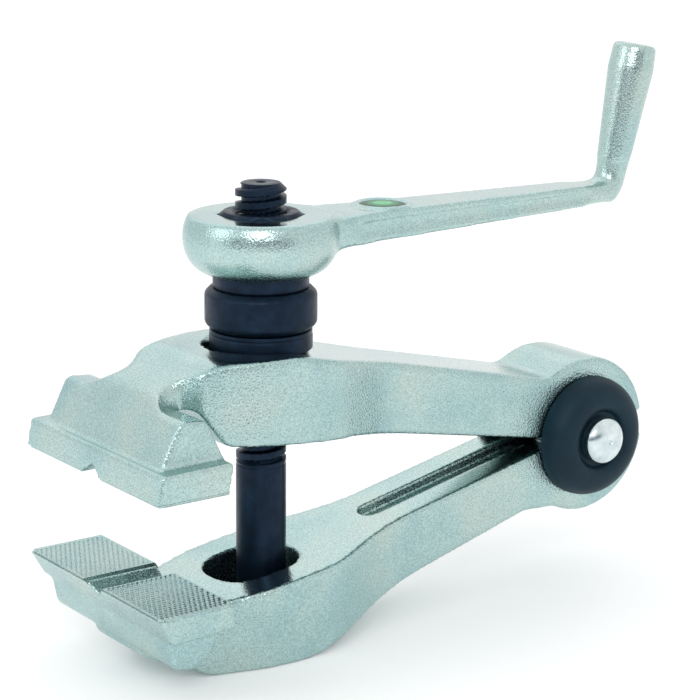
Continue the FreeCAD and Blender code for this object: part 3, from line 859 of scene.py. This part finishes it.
def roundedProfile(corners):
    # (radius, height, fillet) corners of an outline, each eased with a small arc
    out = []
    count = len(corners)
    for i in range(count):
        r, h, fillet = corners[i]
        here = Vector((r, h))
        if fillet == 0 or i in (0, count - 1):
            out.append(here)
            continue
        back = Vector(corners[i - 1][:2]) - here
        ahead = Vector(corners[i + 1][:2]) - here
        reach = min(fillet, back.length * 0.49, ahead.length * 0.49)
        start = here + back.normalized() * reach
        end = here + ahead.normalized() * reach
        for k in range(6):
            t = k / 5
            out.append(start * (1 - t) ** 2 + here * 2 * t * (1 - t) + end * t ** 2)
    return out


def turnedPiece(name, corners, material, centre=Vector((0, 0, 0)), axis=Vector((0, 0, 1)), sides=144):
    # an outline of (radius, height, fillet) in mm, turned about an axis; its two ends are joined
    outline = roundedProfile(corners)
    spin = axis.to_track_quat("Z", "Y").to_matrix()
    points = []
    for p in outline:
        for k in range(sides):
            a = 2 * math.pi * k / sides
            points.append(centre + spin @ Vector((p.x * math.cos(a), p.x * math.sin(a), p.y)) * mm)
    rings = len(outline)
    faces = []
    for i in range(rings):
        j = (i + 1) % rings
        if outline[i].x < 1e-6 and outline[j].x < 1e-6:
            continue
        for k in range(sides):
            n = (k + 1) % sides
            faces.append((i * sides + k, i * sides + n, j * sides + n, j * sides + k))
    piece = makeObject(name, points, faces, material)
    tidyMesh(piece.data)
    return piece


# washer, collar and nut stand on one another round the spindle, in mm
stack = {
    "washerRim": 66.3,
    "washerTop": 72.3,
    "washerRadius": 16.3,
    "ballRadius": 24.0,      # washer's spherical underside
    "landRadius": 14.4,      # raised ring on the washer, inside the collar
    "landHeight": 1.3,
    "capFoot": 72.6,
    "capTop": 85.5,
    "capRadius": 17.7,
    "capChamfer": 1.8,
    "capInner": 15.05,
    "capRoof": 2.9,
    "neckRadius": 15.1,
    "ringFoot": 90.0,
    "hexTop": 109.4,
    "hexFlat": 12.0,
    "hexCorner": 13.16,
    "bore": 8.5,
    "nutBore": 8.05,
}
ballCentre = stack["washerRim"] + math.sqrt(stack["ballRadius"] ** 2 - stack["washerRadius"] ** 2)
dome = []
for step in range(9):
    r = stack["bore"] + (stack["washerRadius"] - stack["bore"]) * step / 8
    dome.append((r, ballCentre - math.sqrt(stack["ballRadius"] ** 2 - r ** 2), 0))
washer = turnedPiece(
    "sphericalWasher",
    dome
    + [
        (stack["washerRadius"], stack["washerTop"] - 1.9, 0.3),
        (stack["washerRadius"] - 0.35, stack["washerTop"] - 1.55, 0.3),
        (stack["washerRadius"] - 0.1, stack["washerTop"] - 1.1, 0.3),
        (stack["washerRadius"] - 0.1, stack["washerTop"], 0.7),
        (stack["landRadius"], stack["washerTop"], 0.2),
        (stack["landRadius"], stack["washerTop"] + stack["landHeight"], 0.2),
        (stack["bore"], stack["washerTop"] + stack["landHeight"], 0.2),
    ],
    blackTurned,
)
settle(washer, "thrust_set", "black_steel", "seat_washer")
collar = turnedPiece(
    "bearingCollar",
    [
        (stack["capInner"], stack["capFoot"], 0),
        (stack["capRadius"] - stack["capChamfer"], stack["capFoot"], 0.5),
        (stack["capRadius"], stack["capFoot"] + stack["capChamfer"], 0.9),
        (stack["capRadius"], stack["capTop"] - stack["capChamfer"], 0.9),
        (stack["capRadius"] - stack["capChamfer"], stack["capTop"], 0.5),
        (stack["bore"], stack["capTop"], 0.3),
        (stack["bore"], stack["capTop"] - stack["capRoof"], 0),
        (stack["capInner"], stack["capTop"] - stack["capRoof"], 0),
    ],
    blackTurned,
)
settle(collar, "crank", "black_cap", "bearing_cap")


def hexNutMesh():
    sides = 288
    turn = math.radians(crank["turn"])
    capTop, foot, top = stack["capTop"], stack["ringFoot"], stack["hexTop"]
    neck, corner, flat, bore = stack["neckRadius"], stack["hexCorner"], stack["hexFlat"], stack["nutBore"]
    # height, greatest radius, hexagonal or not: up the neck, up the hexagon, over its top and down the bore
    rows = [
        (capTop, bore + 0.25, False),
        (capTop, neck - 0.5, False),
        (capTop + 0.15, neck - 0.15, False),
        (capTop + 0.5, neck, False),
        (foot - 0.1, neck, False),
        (foot, neck - 0.2, False),
        (foot, corner, True),
        (top - 1.3, corner, True),
        (top - 1.1, corner - 0.12, True),
        (top - 0.12, flat - 0.25, True),
        (top, flat - 0.55, True),
        (top, bore + 1.35, False),
        (top - 0.15, bore + 1.1, False),
        (top - 1.2, bore, False),
        (capTop + 0.2, bore, False),
    ]
    points = []
    for height, limit, hexagonal in rows:
        for k in range(sides):
            a = 2 * math.pi * k / sides
            r = limit
            if hexagonal:
                local = ((a + math.pi / 6) % (math.pi / 3)) - math.pi / 6
                r = min(limit, flat / math.cos(local))
            points.append(Vector((r * math.cos(a + turn), r * math.sin(a + turn), height)) * mm)
    faces = []
    count = len(rows)
    for i in range(count):
        j = (i + 1) % count
        for k in range(sides):
            n = (k + 1) % sides
            faces.append((i * sides + k, i * sides + n, j * sides + n, j * sides + k))
    piece = makeObject("hexNut", points, faces, blackTurned)
    tidyMesh(piece.data)
    return settle(piece, "crank", "black_steel", "hex_nut")


hexNutMesh()

disc = {
    "radius": 20.8,
    "height": 9.0,
    "crown": 12.4,           # where the domed side reaches its full height
    "bulge": 0.86,           # below 1 the dome is fuller than a quarter round
    "recess": 10.0,
    "seat": 6.5,
    "bore": 4.05,
    "face": 15.2,            # back of the disc, from the middle of the arms
}


def sideDisc(name, sign, node):
    outline = [(disc["bore"], 0.0, 0), (disc["radius"] - 0.5, 0.0, 0.3)]
    for step in range(17):
        a = math.pi / 2 * step / 16
        r = disc["crown"] + (disc["radius"] - disc["crown"]) * math.cos(a) ** disc["bulge"]
        h = 0.5 + (disc["height"] - 0.5) * math.sin(a) ** disc["bulge"]
        outline.append((r, h, 0))
    outline += [
        (disc["recess"] + 1.2, disc["height"] - 0.35, 0),
        (disc["recess"] + 0.4, disc["height"] - 1.0, 0),
        (disc["recess"] - 0.1, disc["seat"] + 0.5, 0.3),
        (disc["recess"] - 0.5, disc["seat"], 0.3),
        (disc["bore"], disc["seat"], 0),
    ]
    way = Vector((0, sign, 0))
    piece = turnedPiece(name, outline, blackNylon, hinge + way * disc["face"] * mm, way, 192)
    return settle(piece, "lower_jaw", "black_disc", node)


sideDisc("nearSideDisc", -1, "near_side_disc")
sideDisc("farSideDisc", 1, "far_side_disc")

rivet = {
    "shaft": 4.0,
    "head": 8.1,
    "height": 6.8,
    "brim": 2.9,             # straight side under the dome
    "seat": 21.7,            # underside of a head, from the middle of the arms
}


def rivetHead(name, sign):
    outline = [
        (0.0, -0.3, 0),
        (rivet["head"] - 0.6, 0.0, 0.3),
        (rivet["head"], 0.6, 0.3),
        (rivet["head"], rivet["brim"], 0.8),
    ]
    for step in range(1, 15):
        a = math.pi / 2 * step / 15
        rise = rivet["brim"] + (rivet["height"] - rivet["brim"] - 0.3) * math.sin(a)
        outline.append((rivet["head"] * math.cos(a) ** 0.9, rise, 0))
    # dimple left by the riveting tool
    outline += [
        (0.9, rivet["height"] - 0.28, 0.2),
        (0.5, rivet["height"] - 0.75, 0.2),
        (0.0, rivet["height"] - 0.95, 0),
    ]
    way = Vector((0, sign, 0))
    return turnedPiece(name, outline, rivetSteel, hinge + way * rivet["seat"] * mm, way, 128)


shaftEnd = rivet["seat"] + 0.2
shaft = turnedPiece(
    "rivetShaft",
    [
        (0, -shaftEnd, 0),
        (rivet["shaft"], -shaftEnd, 0.2),
        (rivet["shaft"], shaftEnd, 0.2),
        (0, shaftEnd, 0),
    ],
    rivetSteel,
    hinge,
    Vector((0, 1, 0)),
    96,
)
settle(shaft, "lower_jaw", "rivet_steel", "hinge_rivet")
settle(rivetHead("rivetHeadNear", -1), "lower_jaw", "rivet_steel", "hinge_rivet")
settle(rivetHead("rivetHeadFar", 1), "lower_jaw", "rivet_steel", "hinge_rivet")
print("turned pieces made")

# spindle: trapezoidal thread, 16 mm by 4 mm pitch, right-hand
thread = {
    "radius": 8.0,
    "pitch": 4.0,
    "depth": 1.9,
    "crestShare": 0.26,      # half the crest, then one flank, as shares of the pitch
    "flankShare": 0.09,
    "lead": 1.5,             # shifts the thread up
    "from": 29.0,
    "to": 118.3,
    "foot": -29.5,
    "step": 0.2,
    "sides": 96,
}


def threadRadius(angle, z):
    phase = ((z - thread["lead"] - angle / (2 * math.pi) * thread["pitch"]) / thread["pitch"]) % 1.0
    # crest on both sides of the middle, then flank, then root
    crest = thread["crestShare"]
    flank = thread["flankShare"]
    d = min(phase, 1 - phase)
    if d < crest:
        cut = 0.0
    elif d < crest + flank:
        cut = (d - crest) / flank
    else:
        cut = 1.0
    cut = cut * cut * (3 - 2 * cut) * 0.35 + cut * 0.65
    start = min(max((z - thread["from"]) / 3.0, 0.0), 1.0)
    return thread["radius"] - thread["depth"] * cut * start


def spindlePiece():
    foot, start, top, full = thread["foot"], thread["from"], thread["to"], thread["radius"]
    heights = [foot, foot + 0.15, foot + 0.6, foot + 3, -12.0, 0.0, 14.0, start - 1.4]
    limits = [full - 0.7, full - 0.3] + [full] * 6
    # a run-out groove marks where the thread begins
    heights += [start - 1.2, start - 0.9, start - 0.4, start - 0.1]
    limits += [full, full - 0.2, full - 0.2, full]
    z = start
    while z < top - 1e-6:
        heights.append(z)
        limits.append(min(full, full - max(0.0, z - (top - 1.9)) * 1.05))
        z += thread["step"]
    heights += [top - 0.05, top]
    limits += [6.05, 5.9]
    sides = thread["sides"]
    points = []
    for h, limit in zip(heights, limits):
        for k in range(sides):
            a = 2 * math.pi * k / sides
            r = limit if h < start else min(limit, threadRadius(a, h))
            points.append(Vector((r * math.cos(a), r * math.sin(a), h)) * mm)
    rows = len(heights)
    faces = []
    for i in range(rows - 1):
        for k in range(sides):
            n = (k + 1) % sides
            faces.append((i * sides + k, i * sides + n, (i + 1) * sides + n, (i + 1) * sides + k))
    # ends: a small turning centre in each
    for ring, h, way in ((0, foot, 1), (rows - 1, top, -1)):
        last = [ring * sides + k for k in range(sides)]
        for r, deep in ((1.9, 0.0), (1.5, 0.25), (0.5, 1.3)):
            now = [len(points) + k for k in range(sides)]
            for k in range(sides):
                a = 2 * math.pi * k / sides
                points.append(Vector((r * math.cos(a), r * math.sin(a), h + way * deep)) * mm)
            for k in range(sides):
                n = (k + 1) % sides
                faces.append((last[k], last[n], now[n], now[k]))
            last = now
        faces.append(tuple(last))
    piece = makeObject("threadedSpindle", points, faces, blackThread)
    tidyMesh(piece.data)
    return settle(piece, "screw", "black_steel", "spindle")


spindlePiece()
print("thread cut")


# opening spring: a coil with one leg in each arm
spring = {
    "wire": 1.25,            # half its thickness, in mm like the rest
    "coil": 9.45,
    "turns": 2,
    "pitch": 2.9,
    "hinge": (125.0, 20.5),
    "grooveDepth": 4.0,
    "gap": 0.2,              # wire to the groove's floor
    "bendX": 106.5,
    "endX": 54.6,
    "lowerGroove": (15, -1.5, 106.5, 17.8),      # edge line of each arm's groove: x, z to x, z
    "upperGroove": (21, 38.0, 105.0, 22.0),
}


def wirePiece(name, route, body):
    curve = bpy.data.curves.new(name, "CURVE")
    curve.dimensions = "3D"
    curve.bevel_depth = spring["wire"] * mm
    curve.bevel_resolution = 6
    curve.use_fill_caps = True
    line = curve.splines.new("POLY")
    line.points.add(len(route) - 1)
    for point, place in zip(line.points, route):
        point.co = (*place, 1.0)
    rod = bpy.data.objects.new(name, curve)
    bpy.context.scene.collection.objects.link(rod)
    mesh = bpy.data.meshes.new_from_object(rod.evaluated_get(bpy.context.evaluated_depsgraph_get()))
    bpy.data.objects.remove(rod)
    piece = bpy.data.objects.new(name, mesh)
    bpy.context.scene.collection.objects.link(piece)
    piece.data.materials.clear()
    piece.data.materials.append(springWire)
    mesh.shade_smooth()
    return settle(piece, body, "spring_wire", "opening_spring")


def legRoute(x0, z0, x1, z1, sign):
    # straight leg in its groove, then down to the coil's side
    lift = sign * (spring["grooveDepth"] - spring["wire"] - spring["gap"])
    aside = sign * spring["pitch"]
    bendX, endX = spring["bendX"], spring["endX"]
    hingeX, hingeZ = spring["hinge"]
    slope = (z1 - z0) / (x1 - x0)
    bend = Vector((bendX, aside, z0 + (bendX - x0) * slope + lift))
    end = Vector((endX, aside, z0 + (endX - x0) * slope + lift))
    out = bend - Vector((hingeX, aside, hingeZ))
    angle = math.atan2(out.z, out.x) - sign * math.acos(spring["coil"] / out.length)
    return end, bend, angle


lowerEnd, lowerBend, lowerAngle = legRoute(*spring["lowerGroove"], -1)
upperEnd, upperBend, upperAngle = legRoute(*spring["upperGroove"], 1)
sweep = (upperAngle - lowerAngle) % (2 * math.pi) + 2 * math.pi * (spring["turns"] - 1)
coilRoute = []
for i in range(97):
    a = lowerAngle + sweep * i / 96
    coilX = spring["hinge"][0] + spring["coil"] * math.cos(a)
    coilY = spring["pitch"] * (2 * i / 96 - 1)
    coilZ = spring["hinge"][1] + spring["coil"] * math.sin(a)
    coilRoute.append(Vector((coilX, coilY, coilZ)) * mm)
wirePiece("springCoilAndLowerLeg", [lowerEnd * mm, lowerBend * mm] + coilRoute, "lower_jaw")
wirePiece("springUpperLeg", [upperEnd * mm, upperBend * mm, coilRoute[-1]], "upper_jaw")
print("spring wound")

# badge: plain domed green disc in the crank's boss
badgeLow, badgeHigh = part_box("badge")
badgeMiddle = Vector(((badgeLow[0] + badgeHigh[0]) / 2, (badgeLow[1] + badgeHigh[1]) / 2, badgeLow[2]))
badgeRadius = (badgeHigh[0] - badgeLow[0]) / 2 / mm
badgeTop = (badgeHigh[2] - badgeLow[2]) / mm
badge = turnedPiece(
    "greenBadge",
    [
        (0, 0, 0),
        (badgeRadius - 0.1, 0, 0),
        (badgeRadius - 0.1, badgeTop - 0.55, 0.2),
        (badgeRadius * 0.8, badgeTop - 0.25, 1.0),
        (badgeRadius * 0.45, badgeTop - 0.05, 1.0),
        (0, badgeTop, 0),
    ],
    domedResin(badgeMiddle),
    badgeMiddle,
)
settle(badge, "crank", "badge_green", "badge")

# pieces that stay as the CAD has them, hidden inside or underneath
keptNodes = {
    "spindle_cross_pin": blackTurned,
    "hinge_core": coreSteel,
    "bearing_lower_race": bearingSteel,
    "bearing_upper_race": bearingSteel,
    "bearing_balls": bearingSteel,
    "bearing_cage": cageBrass,
}
for node, material in keptNodes.items():
    kept = frame["nodes"][node]
    if not kept.material_slots:
        kept.data.materials.append(material)
    for place in kept.material_slots:
        place.link = "OBJECT"
        place.material = material
print("inner pieces painted")

# studio: pale floor, white surround that is darker on the camera's side, soft boxes
studio = {
    "floorTones": ("#f3f4f4", "#f8f9f9"),
    "floorHaze": 333 * mm,
    "floorGlow": 0.10,       # keeps the far floor as white as the surround
    "surround": 1.0,
    "dark": "#22405a",       # unlit part of the room, behind the viewer
    "darkWay": (-0.594, -0.805, 0.0),
    "darkFrom": 0.55,
    "darkFull": 0.80,
    "darkTop": (0.14, 0.28),     # height of the way up where the dark part ends
}


def paleFloor():
    low = cadBox[0][2]
    size = 6.0
    points = [(-size, -size, low), (size, -size, low), (size, size, low), (-size, size, low)]
    material, tree = newMaterial("paintedFloor")
    where = addNode(tree, "ShaderNodeTexCoord").outputs["Object"]
    haze = addNode(
        tree,
        "ShaderNodeTexNoise",
        {"Vector": where, "Scale": 1 / studio["floorHaze"], "Detail": 2.0},
    )
    tone = addNode(
        tree,
        "ShaderNodeValToRGB",
        {"Fac": haze.outputs["Fac"]},
        stops=[(0.3, linear(studio["floorTones"][0])), (0.7, linear(studio["floorTones"][1]))],
    )
    shader = addNode(
        tree,
        "ShaderNodeBsdfPrincipled",
        {
            "Base Color": tone.outputs["Color"],
            "Roughness": 0.6,
            "Emission Color": grey(1.0),
            "Emission Strength": studio["floorGlow"],
        },
    )
    addNode(tree, "ShaderNodeOutputMaterial", {"Surface": shader.outputs[0]})
    floor = makeObject("floor", points, [(0, 1, 2, 3)], material, smooth=False)


def surround():
    world = bpy.data.worlds.new("studio")
    bpy.context.scene.world = world
    world.use_nodes = True
    tree = world.node_tree
    tree.nodes.clear()
    way = addNode(tree, "ShaderNodeTexCoord").outputs["Generated"]
    toCamera = addNode(
        tree,
        "ShaderNodeVectorMath",
        {0: way, 1: studio["darkWay"]},
        operation="DOT_PRODUCT",
    )
    sideways = addNode(
        tree,
        "ShaderNodeMapRange",
        {
            "Value": toCamera.outputs["Value"],
            "From Min": studio["darkFrom"],
            "From Max": studio["darkFull"],
        },
        interpolation_type="SMOOTHSTEP",
    )
    up = addNode(tree, "ShaderNodeSeparateXYZ", {"Vector": way})
    low, high = studio["darkTop"]
    below = addNode(
        tree,
        "ShaderNodeMapRange",
        {"Value": up.outputs["Z"], "From Min": low, "From Max": high, "To Min": 1.0, "To Max": 0.0},
        interpolation_type="SMOOTHSTEP",
    )
    dark = addNode(
        tree,
        "ShaderNodeMath",
        {0: sideways.outputs["Result"], 1: below.outputs["Result"]},
        operation="MULTIPLY",
    )
    colour = addNode(
        tree,
        "ShaderNodeValToRGB",
        {"Fac": dark.outputs[0]},
        stops=[(0.0, grey(1.0)), (1.0, linear(studio["dark"]))],
    )
    light = addNode(
        tree,
        "ShaderNodeBackground",
        {"Color": colour.outputs["Color"], "Strength": studio["surround"]},
    )
    addNode(tree, "ShaderNodeOutputWorld", {"Surface": light.outputs[0]})


def softBox(name, place, size, power, target=(0.03, 0, 0.04)):
    light = bpy.data.lights.new(name, "AREA")
    light.shape = "RECTANGLE"
    light.size, light.size_y = size
    light.energy = power
    box = bpy.data.objects.new(name, light)
    box.location = place
    box.rotation_euler = (Vector(target) - Vector(place)).to_track_quat("-Z", "Y").to_euler()
    bpy.context.scene.collection.objects.link(box)


paleFloor()
surround()
softBox("keyFront", (-0.56, -0.76, 0.62), (0.5, 0.16), 2.4)
softBox("keyLeft", (-1.1, 0.15, 0.6), (0.5, 0.5), 1.5)
softBox("topBack", (0.3, 0.6, 0.9), (1.6, 1.2), 1.5)

view = {
    "azimuth": -36.395,
    "elevation": 13.947,
    "distance": 0.73293,
    "target": (0.03475, 0.0, 0.05998),
    "lens": 116.49,
    "roll": 0.535,
}


def makeCamera():
    data = bpy.data.cameras.new("camera")
    data.sensor_width = 36
    data.lens = view["lens"]
    data.clip_start = 0.01
    camera = bpy.data.objects.new("camera", data)
    az, el = math.radians(view["azimuth"]), math.radians(view["elevation"])
    back = Vector((math.sin(az) * math.cos(el), -math.cos(az) * math.cos(el), math.sin(el)))
    camera.location = Vector(view["target"]) + back * view["distance"]
    turn = back.to_track_quat("Z", "Y").to_matrix() @ Matrix.Rotation(math.radians(view["roll"]), 3, "Z")
    camera.rotation_euler = turn.to_euler()
    bpy.context.scene.collection.objects.link(camera)
    bpy.context.scene.camera = camera


makeCamera()
bpy.context.scene.view_settings.view_transform = "Standard"
print("studio set")
